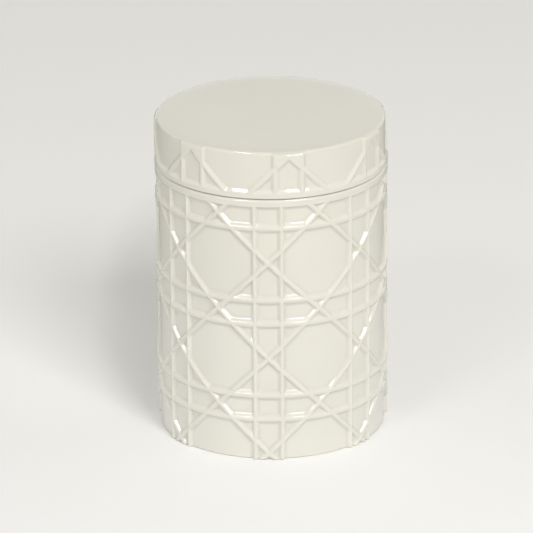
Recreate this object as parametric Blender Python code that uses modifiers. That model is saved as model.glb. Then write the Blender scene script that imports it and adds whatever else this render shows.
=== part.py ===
# A lidded pottery jar on its foot, with a raised caning pattern round the wall and round the lid.
# Metres, +Z up. The origin is on the ground, on the jar's axis, and -Y is the front.

import math

import bmesh
import bpy
from mathutils import Vector

# Jar
WALL_RADIUS = 0.0538  # outside of the wall, between the ribs
WALL = 0.0045
JAR_HEIGHT = 0.1313  # ground to rim
FLOOR = 0.0060  # ground to the inside floor
INSIDE_CORNER = 0.0080  # fillet between the wall and the inside floor
FOOT_RING = 0.0062  # width of the ring that the jar stands on
FOOT_HOLLOW = 0.0016  # how far the underside is raised inside that ring
FOOT_EDGE = 0.0007  # rounding of the foot's edges
RIM_EDGE = 0.0007  # rounding of the rim's edges
RIM_BAND = 0.0034  # height of the raised band under the rim

# Lid
LID_OVERHANG = 0.0004  # how far the lid's wall stands out past the jar's
LID_WALL = 0.0045
LID_HEIGHT = 0.0225  # lower edge to flat top
LID_TOP = 0.0050  # thickness of the top
LID_ROUND = 0.0014  # rounding of the top edge
LID_EDGE = 0.0007  # rounding of the lower edge
LID_CORNER = 0.0045  # fillet inside, between the wall and the top
LID_BAND = 0.0041  # height of the raised band above the lower edge
COLLAR_DEPTH = 0.0090  # how far the collar reaches into the jar
COLLAR_WALL = 0.0036
COLLAR_EDGE = 0.0010  # rounding of the collar's lower edges
COLLAR_PLAY = 0.0011  # clearance all round between the collar and the jar's mouth
SEAT_GAP = 0.0003  # between the rim and the lid that rests on it

# Caning pattern: upright ribs and level ribs in pairs, and single slanted ribs that cross
REPEATS = 7
CELL_HEIGHT = 0.0482  # from one level pair to the next
UPRIGHT_SPACING = 0.0125  # between the two ribs of an upright pair, round the wall
LEVEL_SPACING = 0.0119  # between the two ribs of a level pair
JAR_LEVEL_PAIR = 0.02675  # height of the lowest level pair
LID_LEVEL_PAIR = -0.0038  # height of the lid's level pair above its lower edge, so its lower rib is cut off
JAR_TURN = math.radians(-1.4)  # how far the upright pair at the front is turned to the right
LID_TURN = math.radians(9.1)

# Ribs
RIB_HEIGHT = 0.0012
RIB_FOOT = 0.0034  # width where a rib meets the wall
RIB_ROOT = 0.0012  # how deep it is rooted in the wall
RIB_FADE = 0.0006  # how far below the lid's flat top the ribs fade into its rounded edge
OVER = 0.00007  # how much one rib stands over another where they cross
UPRIGHT_UNDER, RIGHT_UNDER, LEFT_UNDER, LEVEL_UNDER = 1, 2, 3, 4  # how many such steps under the full height

# Facets
CELL_STEPS = 6  # along one repeat of the pattern
TURN_STEPS = REPEATS * CELL_STEPS
JAR_SHIFT = 0  # part of a facet from where slanted ribs cross to the next edge between two facets
LID_SHIFT = 0.4
ARC_ERROR = 0.0001  # how far the facets of a rounded corner may lie inside its arc
MERGE = 0.000005  # points nearer to each other than this are one

CELL_ANGLE = math.tau / REPEATS
LID_RADIUS = WALL_RADIUS + LID_OVERHANG  # outside of the lid's wall, between the ribs
LID_BOTTOM = JAR_HEIGHT + SEAT_GAP
GLAZE = (0.80, 0.78, 0.70)
GLAZE_ROUGHNESS = 0.15


def clear_scene():
    for obj in list(bpy.data.objects):
        bpy.data.objects.remove(obj, do_unlink=True)


def new_collection(name):
    made = bpy.data.collections.new(name)
    bpy.context.scene.collection.children.link(made)
    return made


def glazed_ceramic(name):
    material = bpy.data.materials.new(name)
    material.use_nodes = True
    shader = material.node_tree.nodes["Principled BSDF"]
    shader.inputs["Base Color"].default_value = (*GLAZE, 1)
    shader.inputs["Roughness"].default_value = GLAZE_ROUGHNESS
    shader.inputs["Metallic"].default_value = 0
    return material


def add_object(name, data, collection):
    obj = bpy.data.objects.new(name, data)
    collection.objects.link(obj)
    return obj


def add_helper(name, data, collection):
    """An object that only shapes another one."""
    obj = add_object(name, data, collection)
    obj.hide_render = True
    obj.display_type = "WIRE"
    return obj


def outline(*corners):
    """The points of an outline through corners of (radius, height, rounding), with arcs at the rounded ones."""
    points = []
    for i, (radius, height, rounding) in enumerate(corners):
        here = Vector((radius, height))
        if not rounding:
            points.append(here)
            continue
        back = (Vector(corners[i - 1][:2]) - here).normalized()
        ahead = (Vector(corners[i + 1][:2]) - here).normalized()
        half = back.angle(ahead) / 2
        facet = 2 * math.acos(max(0, 1 - ARC_ERROR / rounding))
        steps = max(1, round((math.pi - 2 * half) / facet))
        centre = here + (back + ahead).normalized() * rounding / math.sin(half)
        start = here + back * rounding / math.tan(half) - centre
        end = here + ahead * rounding / math.tan(half) - centre
        for step in range(steps + 1):
            points.append(centre + start.slerp(end, step / steps).normalized() * rounding)
    return points


def turned_mesh(name, points):
    """The outline, in the XZ plane, that is turned about Z."""
    mesh = bpy.data.meshes.new(name)
    vertices = [(point.x, 0, point.y) for point in points]
    mesh.from_pydata(vertices, [(i, i + 1) for i in range(len(vertices) - 1)], [])
    return mesh


def turn(obj, turn_angle, shift):
    """Turns the outline about Z. Its facets are set to the pattern, so slanted ribs bend where the wall does."""
    obj.rotation_euler.z = turn_angle + (0.5 + shift / CELL_STEPS) * CELL_ANGLE - math.pi / 2
    screw = obj.modifiers.new("turn", "SCREW")
    screw.angle = math.tau
    screw.steps = screw.render_steps = TURN_STEPS
    screw.use_merge_vertices = True
    screw.merge_threshold = MERGE


def combine(obj, other, operation):
    boolean = obj.modifiers.new(other.name, "BOOLEAN")
    boolean.operation = operation
    boolean.solver = "EXACT"
    boolean.object = other


def level_rib(wall_radius, height):
    """The outline of a level rib, from its upper foot to its lower foot."""
    crest = wall_radius + RIB_HEIGHT - LEVEL_UNDER * OVER
    return [
        (wall_radius, height + RIB_FOOT / 2, 0),
        (crest, height, 0),
        (wall_radius, height - RIB_FOOT / 2, 0),
    ]


def level_heights(low, high):
    """Heights of the jar's level ribs that have room between low and high, from the top down."""
    cells = math.ceil(JAR_HEIGHT / CELL_HEIGHT) + 1
    pairs = [JAR_LEVEL_PAIR + cell * CELL_HEIGHT for cell in range(-cells, cells)]
    heights = [pair + side * LEVEL_SPACING / 2 for pair in pairs for side in (-1, 1)]
    return sorted((z for z in heights if low + RIB_FOOT / 2 < z < high - RIB_FOOT / 2), reverse=True)


def jar_outline():
    """From the middle of the inside floor, up the inside, down the outside and to the underside's middle."""
    inside = WALL_RADIUS - WALL
    band = WALL_RADIUS + RIB_HEIGHT
    slope = RIB_FOOT / 2
    ribs = []
    for height in level_heights(0, JAR_HEIGHT - RIM_BAND):
        ribs += level_rib(WALL_RADIUS, height)
    return outline(
        (0, FLOOR, 0),
        (inside, FLOOR, INSIDE_CORNER),
        (inside, JAR_HEIGHT, RIM_EDGE),
        (band, JAR_HEIGHT, RIM_EDGE),
        (band, JAR_HEIGHT - RIM_BAND + slope, 0),
        (WALL_RADIUS, JAR_HEIGHT - RIM_BAND, 0),
        *ribs,
        (WALL_RADIUS, 0, FOOT_EDGE),
        (WALL_RADIUS - FOOT_RING, 0, FOOT_EDGE),
        (WALL_RADIUS - FOOT_RING - FOOT_HOLLOW, FOOT_HOLLOW, 0),
        (0, FOOT_HOLLOW, 0),
    )


def lid_outline():
    """From the middle of the top, down the outside, round the collar and up to the middle of the hollow."""
    top = LID_BOTTOM + LID_HEIGHT
    band = LID_RADIUS + RIB_HEIGHT
    slope = RIB_FOOT / 2
    collar = WALL_RADIUS - WALL - COLLAR_PLAY
    collar_inside = collar - COLLAR_WALL
    collar_end = LID_BOTTOM - COLLAR_DEPTH
    hollow = max(LID_RADIUS - LID_WALL, collar_inside)
    return outline(
        (0, top, 0),
        (LID_RADIUS, top, LID_ROUND),
        (LID_RADIUS, LID_BOTTOM + LID_BAND, 0),
        (band, LID_BOTTOM + LID_BAND - slope, 0),
        (band, LID_BOTTOM, LID_EDGE),
        (collar, LID_BOTTOM, 0),
        (collar, collar_end, COLLAR_EDGE),
        (collar_inside, collar_end, COLLAR_EDGE),
        (collar_inside, LID_BOTTOM, 0),
        (hollow, LID_BOTTOM + hollow - collar_inside, 0),
        (hollow, top - LID_TOP, LID_CORNER),
        (0, top - LID_TOP, 0),
    )


def rib_section(under):
    """Points (across, out) of a rib's section on a wall at out = 0, this many steps under the full height."""
    side = [(RIB_FOOT / 2, 0), (RIB_FOOT / 2, -RIB_ROOT)]
    points = [(0, RIB_HEIGHT)] + side + [(-across, out) for across, out in reversed(side)]
    return [(across, out - under * OVER) for across, out in points]


def add_poly(curve, points, closed):
    spline = curve.splines.new("POLY")
    spline.points.add(len(points) - 1)
    for spline_point, point in zip(spline.points, points):
        spline_point.co = (*point, 1)
    spline.use_cyclic_u = closed


def mesh_from_curve(obj, name, collection):
    """A helper of the same shape as the curve, as closed meshes, in the place of the curve."""
    bpy.context.view_layer.update()
    graph = bpy.context.evaluated_depsgraph_get()
    mesh = bpy.data.meshes.new_from_object(obj.evaluated_get(graph))
    shape = bmesh.new()
    shape.from_mesh(mesh)
    bmesh.ops.remove_doubles(shape, verts=shape.verts, dist=MERGE)
    bmesh.ops.recalc_face_normals(shape, faces=shape.faces)
    shape.to_mesh(mesh)
    shape.free()
    made = add_helper(name, mesh, collection)
    made.matrix_world = obj.matrix_world
    bpy.data.objects.remove(obj, do_unlink=True)
    return made


def upright_ribs(name, wall_radius, turn_angle, low, high, collection):
    """Pairs of prisms round the wall, one pair for each repeat, that reach past low and high."""
    curve = bpy.data.curves.new(name, "CURVE")
    curve.dimensions = "2D"
    curve.fill_mode = "BOTH"
    curve.extrude = (high - low) / 2 + RIB_FOOT
    half_pair = UPRIGHT_SPACING / 2 / wall_radius
    for repeat in range(REPEATS):
        for side in (-1, 1):
            angle = turn_angle + repeat * CELL_ANGLE + side * half_pair - math.pi / 2
            out = Vector((math.cos(angle), math.sin(angle), 0))
            across = Vector((-out.y, out.x, 0))
            section = rib_section(UPRIGHT_UNDER)
            add_poly(curve, [across * x + out * (wall_radius + y) for x, y in section], True)
    obj = add_object(name + "_curve", curve, collection)
    obj.location.z = (low + high) / 2
    return mesh_from_curve(obj, name, collection)


def slanted_ribs(name, wall_radius, turn_angle, shift, pair, hand, under, low, high, collection):
    """Helices round the wall, past low and high, that cross between the upright pairs at each level pair."""
    section = bpy.data.curves.new(name + "_section", "CURVE")
    section.dimensions = "2D"
    add_poly(section, [(hand * out, across, 0) for across, out in rib_section(under)], True)
    section_obj = add_helper(name + "_section", section, collection)

    curve = bpy.data.curves.new(name, "CURVE")
    curve.dimensions = "3D"
    curve.twist_mode = "Z_UP"
    curve.bevel_mode = "OBJECT"
    curve.bevel_object = section_obj
    curve.use_fill_caps = True
    step = CELL_HEIGHT / CELL_STEPS
    first = math.floor((low - pair) / step) - 1
    last = math.ceil((high - pair) / step) + 1
    for repeat in range(REPEATS):
        points = []
        for i in range(first, last + 1):
            steps = i + hand * shift
            angle = turn_angle + (repeat + 0.5 + hand * steps / CELL_STEPS) * CELL_ANGLE - math.pi / 2
            out = (wall_radius * math.cos(angle), wall_radius * math.sin(angle))
            points.append((*out, pair + steps * step))
        add_poly(curve, points, False)
    obj = add_object(name + "_curve", curve, collection)
    made = mesh_from_curve(obj, name, collection)
    bpy.data.objects.remove(section_obj, do_unlink=True)
    return made


def caning(name, wall_radius, turn_angle, shift, pair, envelope_points):
    """A collection of a piece's upright and slanted ribs, each family cut to the room in the envelope."""
    collection = new_collection(name)
    low = min(point.y for point in envelope_points)
    high = max(point.y for point in envelope_points)
    room = (low, high, collection)
    families = [
        upright_ribs(name + "_upright", wall_radius, turn_angle, *room),
        slanted_ribs(name + "_right", wall_radius, turn_angle, shift, pair, 1, RIGHT_UNDER, *room),
        slanted_ribs(name + "_left", wall_radius, turn_angle, shift, pair, -1, LEFT_UNDER, *room),
    ]
    envelope = add_helper(name + "_envelope", turned_mesh(name + "_envelope", envelope_points), helpers)
    turn(envelope, turn_angle, shift)
    for family in families:
        combine(family, envelope, "INTERSECT")
    return collection


def jar_envelope():
    """Room for the jar's ribs: from just above the ground to the middle of the rim's band."""
    reach = WALL_RADIUS + 2 * RIB_HEIGHT
    return outline(
        (0, JAR_HEIGHT - RIM_BAND / 2, 0),
        (reach, JAR_HEIGHT - RIM_BAND / 2, 0),
        (reach, OVER, FOOT_EDGE),
        (0, OVER, 0),
    )


def lid_envelope():
    """Room for the lid's ribs: from the middle of its band to its top edge, which rounds their ends."""
    top = LID_BOTTOM + LID_HEIGHT - RIB_FADE
    reach = LID_RADIUS + RIB_HEIGHT
    return outline(
        (0, top, 0),
        (reach, top, LID_ROUND + RIB_HEIGHT),
        (reach, LID_BOTTOM + LID_BAND / 2, 0),
        (0, LID_BOTTOM + LID_BAND / 2, 0),
    )


def make_piece(name, points, turn_angle, shift, ribs, collection):
    """One turned solid with a collection of ribs joined on."""
    obj = add_object(name, turned_mesh(name, points), collection)
    turn(obj, turn_angle, shift)
    boolean = obj.modifiers.new("ribs", "BOOLEAN")
    boolean.operation = "UNION"
    boolean.solver = "EXACT"
    boolean.operand_type = "COLLECTION"
    boolean.collection = ribs
    obj.data.materials.append(glazed_ceramic(name + "_glaze"))
    return obj


clear_scene()
jar_parts = new_collection("pottery_jar")
helpers = new_collection("helpers")

jar_ribs = caning("jar_ribs", WALL_RADIUS, JAR_TURN, JAR_SHIFT, JAR_LEVEL_PAIR, jar_envelope())
make_piece("jar_body", jar_outline(), JAR_TURN, JAR_SHIFT, jar_ribs, jar_parts)

lid_pair = LID_BOTTOM + LID_LEVEL_PAIR
lid_ribs = caning("lid_ribs", LID_RADIUS, LID_TURN, LID_SHIFT, lid_pair, lid_envelope())
make_piece("lid", lid_outline(), LID_TURN, LID_SHIFT, lid_ribs, jar_parts)
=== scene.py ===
# A lidded pottery jar with a raised caning pattern under an ivory glaze, on a pale floor.
# Every length is in metres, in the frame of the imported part.

import math

import bpy
import numpy as np
from mathutils import Matrix, Vector


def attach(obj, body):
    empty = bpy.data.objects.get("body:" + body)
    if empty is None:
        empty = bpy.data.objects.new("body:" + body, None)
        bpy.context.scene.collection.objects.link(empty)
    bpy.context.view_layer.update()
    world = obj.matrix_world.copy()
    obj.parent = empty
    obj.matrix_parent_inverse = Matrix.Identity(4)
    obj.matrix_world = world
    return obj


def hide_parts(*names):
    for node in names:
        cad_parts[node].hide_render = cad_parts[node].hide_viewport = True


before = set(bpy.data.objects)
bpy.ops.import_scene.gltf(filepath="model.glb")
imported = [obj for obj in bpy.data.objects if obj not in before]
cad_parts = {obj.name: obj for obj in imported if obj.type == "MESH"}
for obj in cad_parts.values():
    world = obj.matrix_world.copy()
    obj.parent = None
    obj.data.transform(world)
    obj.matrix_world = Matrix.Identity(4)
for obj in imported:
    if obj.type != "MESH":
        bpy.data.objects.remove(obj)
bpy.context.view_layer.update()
print("frame loaded")

# the pattern that both pieces carry
caning = {
    "repeats": 7,  # round the jar
    "cellHeight": 0.0479,  # from one level pair to the next
    "uprightSpacing": 0.0125,  # between the two ribs of a pair
    "levelSpacing": 0.0119,
    "levelWider": 0.0008,  # added to a piece's half width for the level ribs
    "levelSofter": 0.0005,  # and to its flank
    "levelDrop": 0.0006,  # how far a level pair sits under the crossings that it passes
    "levelShare": 0.93,  # height of the level ribs, as a share of the upright ones'
    "slantShare": 0.97,  # and of the slanted ones
    "blend": 7.0,  # how crisply ribs run into each other, higher is crisper
    "fineReach": 1.15,  # columns are closer up to this many half widths from an upright rib
    "slump": 0.00005,  # how far the cast wall wanders in and out
    "slumpWaves": ((3, 40, 1.3), (2, -75, 0.4)),  # per radian round, per metre up, and the phase
}


def arc(centre, radius, start, end, steps):
    # points (r, z) on a circle, from the angle start to the angle end in degrees, 0 outwards and 90 up
    angles = np.radians(np.linspace(start, end, steps + 1))
    return np.stack([centre[0] + radius * np.cos(angles), centre[1] + radius * np.sin(angles)], axis=1)


def line(start, end, steps):
    # evenly spaced points (r, z) between two points, without the ends
    share = np.linspace(0, 1, steps + 1)[1:-1, None]
    return np.array(start) * (1 - share) + np.array(end) * share


def wallRows(radius, heights):
    # points (r, z) straight up a wall
    return np.stack([np.full(len(heights), radius), heights], axis=1)


def joinedRows(parts):
    # all rows in one array, and each row's share of the relief
    rows = np.concatenate([np.asarray(points, float) for points, _ in parts])
    shares = [np.broadcast_to(np.asarray(share, float), len(points)) for points, share in parts]
    return rows, np.concatenate(shares)


def smooth(low, high, value):
    # 0 up to low, 1 from high on, and a cubic ease between them
    share = np.clip((value - low) / (high - low), 0, 1)
    return share * share * (3 - 2 * share)


def bead(distance, halfWidth, flank):
    # a rib's height as a share: a narrow flat crest, and an ease down to the wall over the flank
    return 1 - smooth(halfWidth - flank, halfWidth, np.abs(distance))


def wrapped(value, period):
    # the value moved by whole periods to lie within half a period of 0
    return value - period * np.round(value / period)


def reliefOf(piece, angle, z):
    # height of the relief over the wall: the ribs and the band as beads, joined by the root of the sum
    # of their powers, which rounds the crossings, and a slow wander. The angle is 0 at the front and
    # grows to the right
    width = math.tau * piece["wallRadius"] / caning["repeats"]
    height = caning["cellHeight"]
    across = wrapped((angle - piece["turn"]) * piece["wallRadius"], width)
    up = wrapped(z - piece["levelPair"], height)
    half, flank, slantFlank = piece["ribHalfWidth"], piece["flank"], piece["slantFlank"]
    lean = height / width
    steep = 1 / math.hypot(1, lean)
    fromUpright = np.abs(across) - caning["uprightSpacing"] / 2
    fromLevel = np.abs(up + caning["levelDrop"]) - caning["levelSpacing"] / 2
    fromCrossing = (across - width / 2) * lean
    level = bead(fromLevel, half + caning["levelWider"], flank + caning["levelSofter"])
    ribs = (
        bead(fromUpright, half, flank),
        caning["levelShare"] * level,
        caning["slantShare"] * bead(wrapped(up - fromCrossing, height) * steep, half, slantFlank),
        caning["slantShare"] * bead(wrapped(up + fromCrossing, height) * steep, half, slantFlank),
        piece["raised"](across, z),
    )
    joined = sum(rib ** caning["blend"] for rib in ribs) ** (1 / caning["blend"])
    wander = 1
    for turns, rises, phase in caning["slumpWaves"]:
        wander = wander * np.sin(turns * angle + rises * z + phase)
    return piece["ribHeight"] * np.minimum(joined, 1) + caning["slump"] * (wander - 1)


def gridAngles(piece):
    # even columns round one repeat of the pattern, with one more between each two near the upright ribs,
    # and the same again for every repeat
    width = math.tau / caning["repeats"]
    count = piece["cellColumns"]
    even = np.arange(count) / count * width
    middle = even + width / count / 2
    pair = caning["uprightSpacing"] / 2 / piece["wallRadius"]
    near = piece["ribHalfWidth"] * caning["fineReach"] / piece["wallRadius"]
    middle = middle[np.abs(np.abs(wrapped(middle, width)) - pair) < near]
    one = np.sort(np.concatenate([even, middle]))
    return (one[None, :] + np.arange(caning["repeats"])[:, None] * width).ravel() + piece["turn"]


def gridHeights(piece, low, high):
    # even rows up the wall, with one more between each two near the level ribs and at the band's edge
    step = caning["cellHeight"] / piece["cellRows"]
    first = math.floor((low - piece["levelPair"]) / step)
    last = math.ceil((high - piece["levelPair"]) / step)
    even = piece["levelPair"] + np.arange(first, last + 1) * step
    middle = even + step / 2
    fromPair = np.abs(wrapped(middle - piece["levelPair"] + caning["levelDrop"], caning["cellHeight"]))
    reach = piece["ribHalfWidth"] + caning["levelWider"]
    nearRib = np.abs(fromPair - caning["levelSpacing"] / 2) < reach
    nearBand = (middle > piece["fineRows"][0]) & (middle < piece["fineRows"][1])
    rows = np.sort(np.concatenate([even, middle[nearRib | nearBand]]))
    return rows[(rows > low + step / 4) & (rows < high - step / 4)]


def cellFaces(inner, middle):
    # two triangles for each cell between neighbouring rows and columns, and a fan at each pole. A cell is
    # cut along the diagonal whose mean relief is nearer to the relief at the cell's middle
    rows, columns = inner.shape
    index = np.arange(rows * columns).reshape(rows, columns)
    a, b = index[:-1], np.roll(index, -1, axis=1)[:-1]
    d, c = index[1:], np.roll(index, -1, axis=1)[1:]
    nextInner = np.roll(inner, -1, axis=1)
    fallAC = np.abs((inner[:-1] + nextInner[1:]) / 2 - middle)
    fallBD = np.abs((nextInner[:-1] + inner[1:]) / 2 - middle)
    useAC = (fallAC <= fallBD)[..., None]
    one = np.where(useAC, np.stack([a, b, c], axis=2), np.stack([a, b, d], axis=2)).reshape(-1, 3)
    two = np.where(useAC, np.stack([a, c, d], axis=2), np.stack([b, c, d], axis=2)).reshape(-1, 3)
    ring, lastRing = index[0], index[-1]
    pole = np.full(columns, index.size)
    return np.concatenate([
        one,
        two,
        np.stack([pole, np.roll(ring, -1), ring], axis=1),
        np.stack([lastRing, np.roll(lastRing, -1), pole + 1], axis=1),
    ])


def turnedPiece(name, piece, profile, share, material):
    # a closed surface of rows (r, z) turned about Z: each row's radius grows by its share of the relief
    # there. The rows run from the underside's middle outwards, up and back to the axis, on which the
    # first and the last lie
    angles = gridAngles(piece)[None, :]
    radius, z = profile[:, :1], profile[:, 1:]
    share = share[:, None]

    def reliefAt(angleShift, heightShift):
        return reliefOf(piece, angles + angleShift, z + heightShift)

    # how the relief changes round the axis and up the wall
    relief = reliefAt(0, 0)
    small = 0.0001  # taken over this length to either side
    turnSmall = small / piece["wallRadius"]
    alongAngle = share * (reliefAt(turnSmall, 0) - reliefAt(-turnSmall, 0)) / (2 * turnSmall)
    alongHeight = share * (reliefAt(0, small) - reliefAt(0, -small)) / (2 * small)
    run = np.concatenate([[0], np.cumsum(np.hypot(*np.diff(profile, axis=0).T))])
    shareRun, radiusRun, heightRun = (
        np.gradient(values, run)[:, None] for values in (share[:, 0], profile[:, 0], profile[:, 1]))
    radiusRun = radiusRun + alongHeight * heightRun + relief * shareRun

    # the normal is the cross product of the slopes round and along the profile
    full = radius + share * relief
    out, side, rise = full * heightRun, alongAngle * heightRun, -full * radiusRun
    sin, cos = np.sin(angles), np.cos(angles)
    normals = np.stack([out * sin - side * cos, -out * cos - side * sin, rise], axis=2)
    places = np.stack([full * sin, -full * cos, np.broadcast_to(z, full.shape)], axis=2)

    # how hollow the surface is within the reach: glaze pools there and painted shade darkens it, and the
    # glaze runs thin where it is negative
    reach = 0.0006
    turnReach = reach / piece["wallRadius"]
    around = reliefAt(turnReach, 0) + reliefAt(-turnReach, 0) + reliefAt(0, reach) + reliefAt(0, -reach)
    hollow = share * (around - 4 * relief) / reach

    # the first and the last row are one point each
    poles = [[0, 0, profile[0, 1]], [0, 0, profile[-1, 1]]]
    verts = np.concatenate([places[1:-1].reshape(-1, 3), poles])
    vertNormals = np.concatenate([normals[1:-1].reshape(-1, 3), [[0, 0, -1], [0, 0, 1]]])
    vertNormals /= np.linalg.norm(vertNormals, axis=1, keepdims=True)
    hollows = np.concatenate([hollow[1:-1].ravel(), [0, 0]])

    angleStep = np.roll(angles, -1, axis=1) - angles
    angleStep[0, -1] += math.tau
    middleShare, middleZ = (share[1:-2] + share[2:-1]) / 2, (z[1:-2] + z[2:-1]) / 2
    middle = middleShare * reliefOf(piece, angles + angleStep / 2, middleZ)
    faces = cellFaces((share * relief)[1:-1], middle)
    return addMesh(name, verts, faces, vertNormals, hollows, material)


def addMesh(name, verts, faces, normals, hollows, material):
    # the arrays as an object: smooth triangles, a normal for each point, and how hollow it is there
    mesh = bpy.data.meshes.new(name)
    mesh.vertices.add(len(verts))
    mesh.vertices.foreach_set("co", verts.astype(np.float32).ravel())
    mesh.loops.add(faces.size)
    mesh.loops.foreach_set("vertex_index", faces.astype(np.int32).ravel())
    mesh.polygons.add(len(faces))
    mesh.polygons.foreach_set("loop_start", np.arange(0, faces.size, 3, dtype=np.int32))
    mesh.update(calc_edges=True)
    mesh.validate()
    mesh.polygons.foreach_set("use_smooth", np.ones(len(mesh.polygons), bool))
    mesh.normals_split_custom_set_from_vertices(normals.tolist())
    mesh.attributes.new("hollow", "FLOAT", "POINT").data.foreach_set("value", hollows.astype(np.float32))
    mesh.materials.append(material)
    return addObject(name, mesh)


def addObject(name, data):
    # a mesh, lamp or camera as an object of its name, at the origin
    made = bpy.data.objects.new(name, data)
    bpy.context.scene.collection.objects.link(made)
    return made


class Sock:
    # wraps a node socket or a number, so that maths on it adds Math nodes
    def __init__(self, tree, value):
        self.tree, self.value = tree, value

    def math(self, operation, *others):
        sockets = dict(enumerate((self, *others)))
        return self.tree.add("ShaderNodeMath", {"operation": operation}, sockets)[0]

    def __add__(self, other): return self.math("ADD", other)
    __radd__ = __add__
    def __sub__(self, other): return self.math("SUBTRACT", other)
    def __rsub__(self, other): return Sock(self.tree, other).math("SUBTRACT", self)
    def __mul__(self, other): return self.math("MULTIPLY", other)
    __rmul__ = __mul__
    def __truediv__(self, other): return self.math("DIVIDE", other)
    def above(self, other): return self.math("GREATER_THAN", other)
    def below(self, other): return self.math("LESS_THAN", other)

    def ease(self, low, high):
        # 0 up to low, 1 from high on
        return self.tree.add("ShaderNodeMapRange", {"interpolation_type": "SMOOTHSTEP"}, {
            "Value": self, "From Min": low, "From Max": high})[0]


class Finish:
    # the nodes of one material or world
    def __init__(self, tree, outputKind="ShaderNodeOutputMaterial"):
        self.nodes, self.links = tree.nodes, tree.links
        self.nodes.clear()
        self.output = self.nodes.new(outputKind)

    def add(self, kind, settings, sockets):
        # a node of this type: its settings first, then its sockets by name or number, as values or links
        node = self.nodes.new(kind)
        for key, value in settings.items():
            setattr(node, key, value)
        for key, value in sockets.items():
            target = node.inputs[key]
            value = value.value if isinstance(value, Sock) else value
            if isinstance(value, bpy.types.NodeSocket):
                self.links.new(value, target)
            else:
                target.default_value = value
        return [Sock(self, output) for output in node.outputs]

    def place(self):
        # Object coordinates
        return self.add("ShaderNodeTexCoord", {}, {})[3]

    def apart(self, vector):
        # the three parts of a vector or a colour
        return self.add("ShaderNodeSeparateXYZ", {}, {0: vector})

    def attribute(self, name):
        # the value that the mesh keeps for each point
        return self.add("ShaderNodeAttribute", {"attribute_name": name}, {})[2]

    def noise(self, vector, scale, detail):
        # a cloudy pattern about 0.5, with so many lumps to a metre
        return self.add("ShaderNodeTexNoise", {}, {"Vector": vector, "Scale": scale, "Detail": detail})[0]

    def blend(self, share, first, second):
        # first where share is 0, second where it is 1, as colours
        return self.add("ShaderNodeMix", {"data_type": "RGBA"}, {0: share, 6: first, 7: second})[2]

    def toCamera(self):
        # 1 for what the camera sees straight on, 0 for reflections and for light on the object
        return self.add("ShaderNodeLightPath", {}, {})[0]

    def finish(self, shader):
        self.links.new(shader.value, self.output.inputs[0])


def newMaterial(name):
    # a material that is made of nodes
    material = bpy.data.materials.new(name)
    material.use_nodes = True
    return material


def color(red, green, blue):
    # a colour as sockets take it, with full alpha
    return (red, green, blue, 1)


glaze = {
    "ivory": color(0.800, 0.782, 0.705),
    "cloud": color(0.780, 0.766, 0.688),  # slow change from firing
    "cloudNoise": (22, 3.0),  # its scale and detail
    "cloudRange": (0.35, 0.70),
    "pooledAndShade": color(0.640, 0.632, 0.540),  # in the corners beside the ribs, partly pooled glaze and partly painted shade
    "pooledAndShadeRange": (0.02, 0.55),  # how hollow the surface is where the pooling and painted shade start and are full
    "pooledAndShadeShare": 0.22,
    "thin": color(0.835, 0.817, 0.745),  # over crests and edges, where it runs thin
    "thinRange": (0.15, 1.0),
    "thinShare": 0.6,
    "speck": color(0.20, 0.16, 0.11),
    "speckScale": 62,  # cells to a metre, of which some hold a speck
    "speckAbove": 0.86,  # those whose random value is above this
    "speckSize": 0.017,  # radius of a speck, in cells
    "speckShare": 0.8,
    "clayAndSeamShade": color(0.480, 0.465, 0.400),  # bare clay where the pieces rest, darkened as painted shade for the seam between jar and lid
    "clayNoise": (2500, 2.0),
    "clayRoughness": 0.75,
    "roughness": 0.045,
    "cloudRoughness": 0.03,  # how much the clouds and the grain change it
    "grainRoughness": 0.02,
    "grainNoise": (260, 2.0),
    "rippleNoise": (90, 1.0),
    "grainBump": 0.15,  # as a share of the ripples'
    "bump": 0.35,
    "bumpHeight": 0.00008,
    "refraction": 1.5,  # index of the glass in the glaze
    "seatSkin": 0.0001,  # clay shows this far from a seat's height
}


def glazeFinish(name, seats):
    # ivory glaze that turns cloudy with a slow noise, darker where the surface is hollow from pooled glaze
    # and painted shade, and paler where it stands proud, with a few specks, and bare clay on the seats,
    # each between two heights, darkened as painted shade of the seam
    material = newMaterial(name)
    f = Finish(material.node_tree)
    place = f.place()
    hollow = f.attribute("hollow")
    slow = f.noise(place, *glaze["cloudNoise"])
    grain = f.noise(place, *glaze["grainNoise"])
    base = f.blend(slow.ease(*glaze["cloudRange"]), glaze["ivory"], glaze["cloud"])
    # darker in the hollows beside the ribs: pooled glaze and painted shade
    base = f.blend(hollow.ease(*glaze["pooledAndShadeRange"]) * glaze["pooledAndShadeShare"], base, glaze["pooledAndShade"])
    base = f.blend((0 - hollow).ease(*glaze["thinRange"]) * glaze["thinShare"], base, glaze["thin"])

    # a few iron specks: small dots at the middles of some cells
    cells = f.add("ShaderNodeTexVoronoi", {}, {"Vector": place, "Scale": glaze["speckScale"]})
    chosen = f.apart(cells[1])[0].above(glaze["speckAbove"])
    speck = cells[0].below(glaze["speckSize"]) * chosen * glaze["speckShare"]
    base = f.blend(speck, base, glaze["speck"])

    z = f.apart(place)[2]
    # bare clay on the seats, its colour darkened as painted shade in the seam
    bare = sum(z.above(low) * z.below(high) for low, high in seats)
    base = f.blend(bare, base, glaze["clayAndSeamShade"])
    rough = glaze["roughness"] + slow * glaze["cloudRoughness"] + (grain - 0.5) * glaze["grainRoughness"]
    rough = rough * (1 - bare) + glaze["clayRoughness"] * bare
    ripple = f.noise(place, *glaze["rippleNoise"])
    height = ripple + grain * glaze["grainBump"] + bare * f.noise(place, *glaze["clayNoise"])
    bump = f.add("ShaderNodeBump", {}, {
        "Strength": glaze["bump"], "Distance": glaze["bumpHeight"], "Height": height})[0]
    f.finish(f.add("ShaderNodeBsdfPrincipled", {}, {
        "Base Color": base, "Roughness": rough, "IOR": glaze["refraction"], "Normal": bump})[0])
    return material


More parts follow.
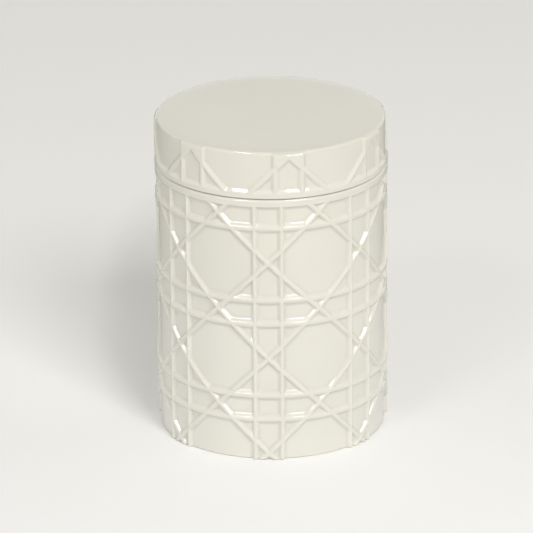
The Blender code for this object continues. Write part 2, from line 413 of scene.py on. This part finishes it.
jar = {
    "wallRadius": 0.0534,  # outside, between the ribs
    "wall": 0.0041,
    "height": 0.1309,
    "floor": 0.0060,  # height of the floor inside
    "insideCorner": 0.0080,
    "rimRound": 0.0013,
    "lipRound": 0.0007,  # the rim's inner edge
    "footRound": 0.0005,
    "ringRound": 0.0006,  # the foot ring's inner edge
    "footRing": 0.0058,
    "footHollow": 0.0016,
    "bareFoot": 0.0003,  # the glaze starts at this height
    "turn": math.radians(-1.9),
    "levelPair": 0.0271,  # height of the lowest level pair
    "ribHeight": 0.0017,
    "ribHalfWidth": 0.0020,
    "flank": 0.0019,  # from a rib's crest out to the wall
    "slantFlank": 0.0016,
    "bandEdge": (0.1258, 0.1278),  # the band under the rim rises between these heights
    "fineRows": (0.1255, 0.1280),  # and rows are closer between these
    "cellColumns": 52,
    "cellRows": 52,
}


def jarBand(across, z):
    # the raised band under the rim, as a share of the ribs' height
    return smooth(*jar["bandEdge"], z)


jar["raised"] = jarBand


def makeJar(material):
    # rows from the middle of the underside, up the outside, over the rim and down to the middle of the
    # floor. Each line and arc ends with its number of steps, and each part with its share of the relief
    radius, height, floor, hollow = jar["wallRadius"], jar["height"], jar["floor"], jar["footHollow"]
    rimRound, lipRound, corner = jar["rimRound"], jar["lipRound"], jar["insideCorner"]
    footRound, ringRound = jar["footRound"], jar["ringRound"]
    inside = radius - jar["wall"]
    ringInside = radius - jar["footRing"]
    heights = gridHeights(jar, footRound, height - rimRound)
    parts = [
        ([[0, hollow]], 0),
        (line((0, hollow), (ringInside - hollow, hollow), 5), 0),
        ([[ringInside - hollow, hollow]], 0),
        (arc((ringInside + ringRound, ringRound), ringRound, 225, 270, 3), 0),
        (line((ringInside + ringRound, 0), (radius - footRound, 0), 3), 0),
        (arc((radius - footRound, footRound), footRound, -90, 0, 5), 1),
        (wallRows(radius, heights), 1),
        (arc((radius - rimRound, height - rimRound), rimRound, 0, 90, 6), 1),
        (line((radius - rimRound + jar["ribHeight"], height), (inside + lipRound, height), 3), 0),
        (arc((inside + lipRound, height - lipRound), lipRound, 90, 180, 4), 0),
        (line((inside, height - lipRound), (inside, floor + corner), 5), 0),
        (arc((inside - corner, floor + corner), corner, 0, -90, 8), 0),
        (line((inside - corner, floor), (0, floor), 6), 0),
        ([[0, floor]], 0),
    ]
    return turnedPiece("jarBody", jar, *joinedRows(parts), material)


lid = {
    "wallRadius": 0.0540,
    "wall": 0.0043,
    "bottom": 0.1312,
    "top": 0.1541,
    "topWall": 0.0050,
    "topRound": 0.0015,
    "edgeRound": 0.0006,  # the lower edge
    "insideCorner": 0.0045,
    "collarOutside": 0.0482,
    "collarInside": 0.0446,
    "collarDepth": 0.0090,
    "collarRound": 0.0010,
    "turn": math.radians(8.6),
    "levelPair": 0.1279,
    "ribHeight": 0.0012,
    "ribHalfWidth": 0.0022,
    "flank": 0.0020,
    "slantFlank": 0.0020,
    "ribFade": 0.0027,  # the ribs round off over this height under the flat top
    "fadeShare": 0.5,  # by this share of a quarter circle
    "fadePower": 1.5,  # and run out over the top's edge, higher is sooner
    "bandEdge": (0.1331, 0.1355),
    "fineRows": (0.1331, 0.1355),
    "gableEdge": (-0.0002, 0.0008),  # the gable rises between these heights over the slanted ribs
    "cellColumns": 80,
    "cellRows": 80,
}


def lidBand(across, z):
    # the raised band over the lower edge, and the gable over each crossing: the space between two
    # uprights is filled from the slanted ribs up, whose height falls with the distance from the pair's
    # middle
    band = 1 - smooth(*lid["bandEdge"], z)
    lean = caning["cellHeight"] * caning["repeats"] / (math.tau * lid["wallRadius"])
    overRib = z - lid["levelPair"] - caning["cellHeight"] / 2 + np.abs(across) * lean
    between = 1 - smooth(0, lid["ribHalfWidth"], np.abs(across) - caning["uprightSpacing"] / 2)
    return np.maximum(band, smooth(*lid["gableEdge"], overRib) * between * caning["slantShare"])


lid["raised"] = lidBand


def makeLid(material):
    # rows from the middle of the hollow, down inside the collar, up its outside, up the side and to the
    # middle of the top, with steps and shares as in the jar
    radius, bottom, top, corner = lid["wallRadius"], lid["bottom"], lid["top"], lid["insideCorner"]
    topRound, edgeRound, collarRound = lid["topRound"], lid["edgeRound"], lid["collarRound"]
    inside, ceiling = radius - lid["wall"], top - lid["topWall"]
    outer, inner, end = lid["collarOutside"], lid["collarInside"], bottom - lid["collarDepth"]
    slopeTop = bottom + inside - inner
    heights = gridHeights(lid, bottom + edgeRound, top - topRound)
    fade = lid["ribFade"]
    drop = np.clip((heights - (top - fade)) / fade, 0, 1)
    wallShare = 1 - (1 - np.sqrt(1 - drop ** 2)) * fade / lid["ribHeight"] * lid["fadeShare"]
    edgeSteps = 7
    edgeShare = np.linspace(wallShare[-1], 0, edgeSteps + 1) ** lid["fadePower"]
    parts = [
        ([[0, ceiling]], 0),
        (line((0, ceiling), (inside - corner, ceiling), 6), 0),
        (arc((inside - corner, ceiling - corner), corner, 90, 0, 7), 0),
        (line((inside, ceiling - corner), (inside, slopeTop), 3), 0),
        ([[inside, slopeTop]], 0),
        (line((inside, slopeTop), (inner, bottom), 4), 0),
        ([[inner, bottom]], 0),
        (line((inner, bottom), (inner, end + collarRound), 4), 0),
        (arc((inner + collarRound, end + collarRound), collarRound, 180, 270, 4), 0),
        (arc((outer - collarRound, end + collarRound), collarRound, 270, 360, 4), 0),
        (line((outer, end + collarRound), (outer, bottom), 4), 0),
        ([[outer, bottom]], 0),
        (line((outer, bottom), (radius - edgeRound + lid["ribHeight"], bottom), 4), 0),
        (arc((radius - edgeRound, bottom + edgeRound), edgeRound, -90, 0, 5), 1),
        (wallRows(radius, heights), wallShare),
        (arc((radius - topRound, top - topRound), topRound, 0, 90, edgeSteps), edgeShare),
        (line((radius - topRound, top), (0, top), 8), 0),
        ([[0, top]], 0),
    ]
    return turnedPiece("jarLid", lid, *joinedRows(parts), material)


print("functions ready")

skin = glaze["seatSkin"]
jarGlaze = glazeFinish("jarGlaze", [(-skin, jar["bareFoot"]), (jar["height"] - skin, jar["height"] + skin)])
lidGlaze = glazeFinish("lidGlaze", [(lid["bottom"] - skin, lid["bottom"] + skin)])
jarBody = makeJar(jarGlaze)
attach(jarBody, "jar")
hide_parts("jar_body")
print("jar body made", len(jarBody.data.polygons), "triangles")
jarLid = makeLid(lidGlaze)
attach(jarLid, "lid")
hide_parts("lid")
print("lid made", len(jarLid.data.polygons), "triangles")


studio = {
    "floorRadius": 30.0,
    "floorStart": 0.05,  # radius of the innermost ring
    "floorRings": 14,
    "floorSides": 96,
    "floorFront": color(0.935, 0.940, 0.990),  # the floor as it lights the jar, before painted shade
    "floorBack": color(0.580, 0.566, 0.525),
    "floorRun": (-0.02, 0.24),  # it darkens into the back colour between these, along Y, as painted shade
    "farRun": (0.10, 0.45),  # and, as painted shade, by the far share with the distance from the jar
    "farShare": 0.75,
    "seenFront": color(1.065, 1.059, 1.068),  # the floor as the camera sees it, which lights nothing
    "seenBack": color(1.110, 1.102, 1.098),
    "seenRun": (-0.03, 0.15),
    # painted shadow on the floor as the camera sees it: soft ellipses that deepen the jar's shadow or pale
    # its outer part, with centre, radii and change
    "paintedShadowPatches": (
        ((-0.058, 0.15), (0.034, 0.18), -0.155),
        ((-0.110, 0.08), (0.070, 0.12), 0.05),
    ),
    "lightColor": color(1.0, 0.993, 0.970),  # light from the studio's walls
    "topColor": color(1.0, 0.994, 0.905),  # and from overhead
    "topRun": (0.2, 1.0),  # sines of the height between which one turns into the other
    "level": 1.105,  # strength near the floor
    "lowTop": 1.3,  # it would fade to 0 at this sine of the height
    "backdrop": color(0.70, 0.69, 0.66),
    "lampDistance": 1.5,
    "lampAim": 0.09,  # height that the lamps point at
}


def floorPaint():
    # painted shade: darker towards the back and with the distance where it lights the jar. The camera sees
    # a paler floor instead, times 1 plus the change of each painted shadow patch, which eases to 0 at the
    # ellipse's edge
    paint = newMaterial("floorPaint")
    f = Finish(paint.node_tree)
    x, y = f.apart(f.place())[:2]
    # painted shade: the floor's colour for the light it throws is darker towards the back and far from the
    # jar
    base = f.blend(y.ease(*studio["floorRun"]), studio["floorFront"], studio["floorBack"])
    far = (x * x + y * y).ease(studio["farRun"][0] ** 2, studio["farRun"][1] ** 2)
    base = f.blend(far * studio["farShare"], base, studio["floorBack"])
    seen = f.blend(y.ease(*studio["seenRun"]), studio["seenFront"], studio["seenBack"])
    strength = Sock(f, 1)
    # painted shadow: each patch deepens or pales the jar's cast shadow as the camera sees it
    for centre, radius, change in studio["paintedShadowPatches"]:
        across, along = (x - centre[0]) / radius[0], (y - centre[1]) / radius[1]
        strength = strength + (1 - (across * across + along * along).ease(0, 1)) * change
    seen = f.add("ShaderNodeVectorMath", {"operation": "SCALE"}, {0: seen, "Scale": strength})[0]
    f.finish(f.add("ShaderNodeBsdfDiffuse", {}, {"Color": f.blend(f.toCamera(), base, seen)})[0])
    return paint


def makeFloor():
    # a flat disc: rings of points on circles that grow by a fixed ratio
    sides, count = studio["floorSides"], studio["floorRings"]
    angles = np.linspace(0, math.tau, sides + 1)[:-1]
    rings = np.geomspace(studio["floorStart"], studio["floorRadius"], count)[:, None]
    points = np.stack([rings * np.cos(angles), rings * np.sin(angles), np.zeros((count, sides))], axis=2)
    index = np.arange(count * sides).reshape(count, sides)
    a, b = index[:-1], index[1:]
    quads = np.stack([a, b, np.roll(b, -1, axis=1), np.roll(a, -1, axis=1)], axis=2).reshape(-1, 4)
    mesh = bpy.data.meshes.new("floor")
    mesh.from_pydata(points.reshape(-1, 3).tolist(), [], [index[0].tolist()] + quads.tolist())
    mesh.materials.append(floorPaint())
    addObject("floor", mesh)


def makeSky():
    # the studio round the jar as light from all sides, brightest near the floor, of which the camera
    # itself sees only a plain pale backdrop
    world = bpy.data.worlds.new("studio")
    bpy.context.scene.world = world
    world.use_nodes = True
    f = Finish(world.node_tree, "ShaderNodeOutputWorld")
    z = f.apart(f.add("ShaderNodeTexCoord", {}, {})[0])[2]
    level = (1 - z.ease(0.0, studio["lowTop"])) * studio["level"]
    tone = f.blend(z.ease(*studio["topRun"]), studio["lightColor"], studio["topColor"])
    light = f.add("ShaderNodeBackground", {}, {"Color": tone, "Strength": level})[0]
    seen = f.add("ShaderNodeBackground", {}, {"Color": studio["backdrop"]})[0]
    f.finish(f.add("ShaderNodeMixShader", {}, {0: f.toCamera(), 1: light, 2: seen})[0])


# each lamp's name, azimuth and elevation in degrees, size, power, tint, and whether it is mirrored only
lamps = (
    ("keyBox", 23, 41, (0.46, 0.50), 7.8, (1.0, 0.99, 0.965), False),
    ("fillBox", -30, 41, (0.40, 0.30), 1.9, (1.0, 0.995, 0.98), False),
    ("keyGlint", 29, 41, (0.46, 0.22), 10.5, (1.0, 1.0, 1.0), True),
    ("fillGlint", -32, 41, (0.40, 0.22), 8, (1.0, 1.0, 1.0), True),
)


def softBox(name, azimuth, elevation, size, power, tint, mirrored):
    # an area light aimed at the jar's middle. Azimuth is 0 at the front and grows to the right. A
    # mirrored one is only seen in the glaze, and the others only light it
    data = bpy.data.lights.new(name, "AREA")
    data.shape = "RECTANGLE"
    data.size, data.size_y = size
    data.energy = power
    data.color = tint
    made = addObject(name, data)
    a, e = math.radians(azimuth), math.radians(elevation)
    back = Vector((math.sin(a) * math.cos(e), -math.cos(a) * math.cos(e), math.sin(e)))
    made.location = Vector((0, 0, studio["lampAim"])) + back * studio["lampDistance"]
    made.rotation_euler = (-back).to_track_quat("-Z", "Y").to_euler()
    made.visible_diffuse, made.visible_glossy = not mirrored, mirrored


view = {
    "distance": 2.871,
    "elevation": 0.3687,  # this and the two turns below are in radians
    "aim": 0.0767,  # height that the camera looks at
    "yaw": -0.00087,
    "roll": -0.0068,
    "focal": 6036 / 533,  # focal length in widths of the picture
    "sensor": 36,  # in millimetres, as the lens
    "clip": (0.05, 100),
}


def makeCamera():
    # looks from the front and above at a point on the jar's axis, and is then turned by yaw and by roll
    c, s = math.cos(view["elevation"]), math.sin(view["elevation"])
    ahead, right = Vector((0, c, -s)), Vector((1, 0, 0))
    up = right.cross(ahead)
    c, s = math.cos(view["yaw"]), math.sin(view["yaw"])
    turnedAhead, turnedRight = c * ahead + s * right, c * right - s * ahead
    c, s = math.cos(view["roll"]), math.sin(view["roll"])
    rolledRight, rolledUp = c * turnedRight + s * up, c * up - s * turnedRight
    data = bpy.data.cameras.new("camera")
    data.lens = view["focal"] * view["sensor"]
    data.sensor_width = view["sensor"]
    data.clip_start, data.clip_end = view["clip"]
    made = addObject("camera", data)
    made.matrix_world = Matrix((rolledRight, rolledUp, -turnedAhead)).transposed().to_4x4()
    made.location = Vector((0, 0, view["aim"])) - ahead * view["distance"]
    bpy.context.scene.camera = made


makeFloor()
makeSky()
for lamp in lamps:
    softBox(*lamp)
makeCamera()
bpy.context.scene.view_settings.view_transform = "Standard"
print("studio ready")
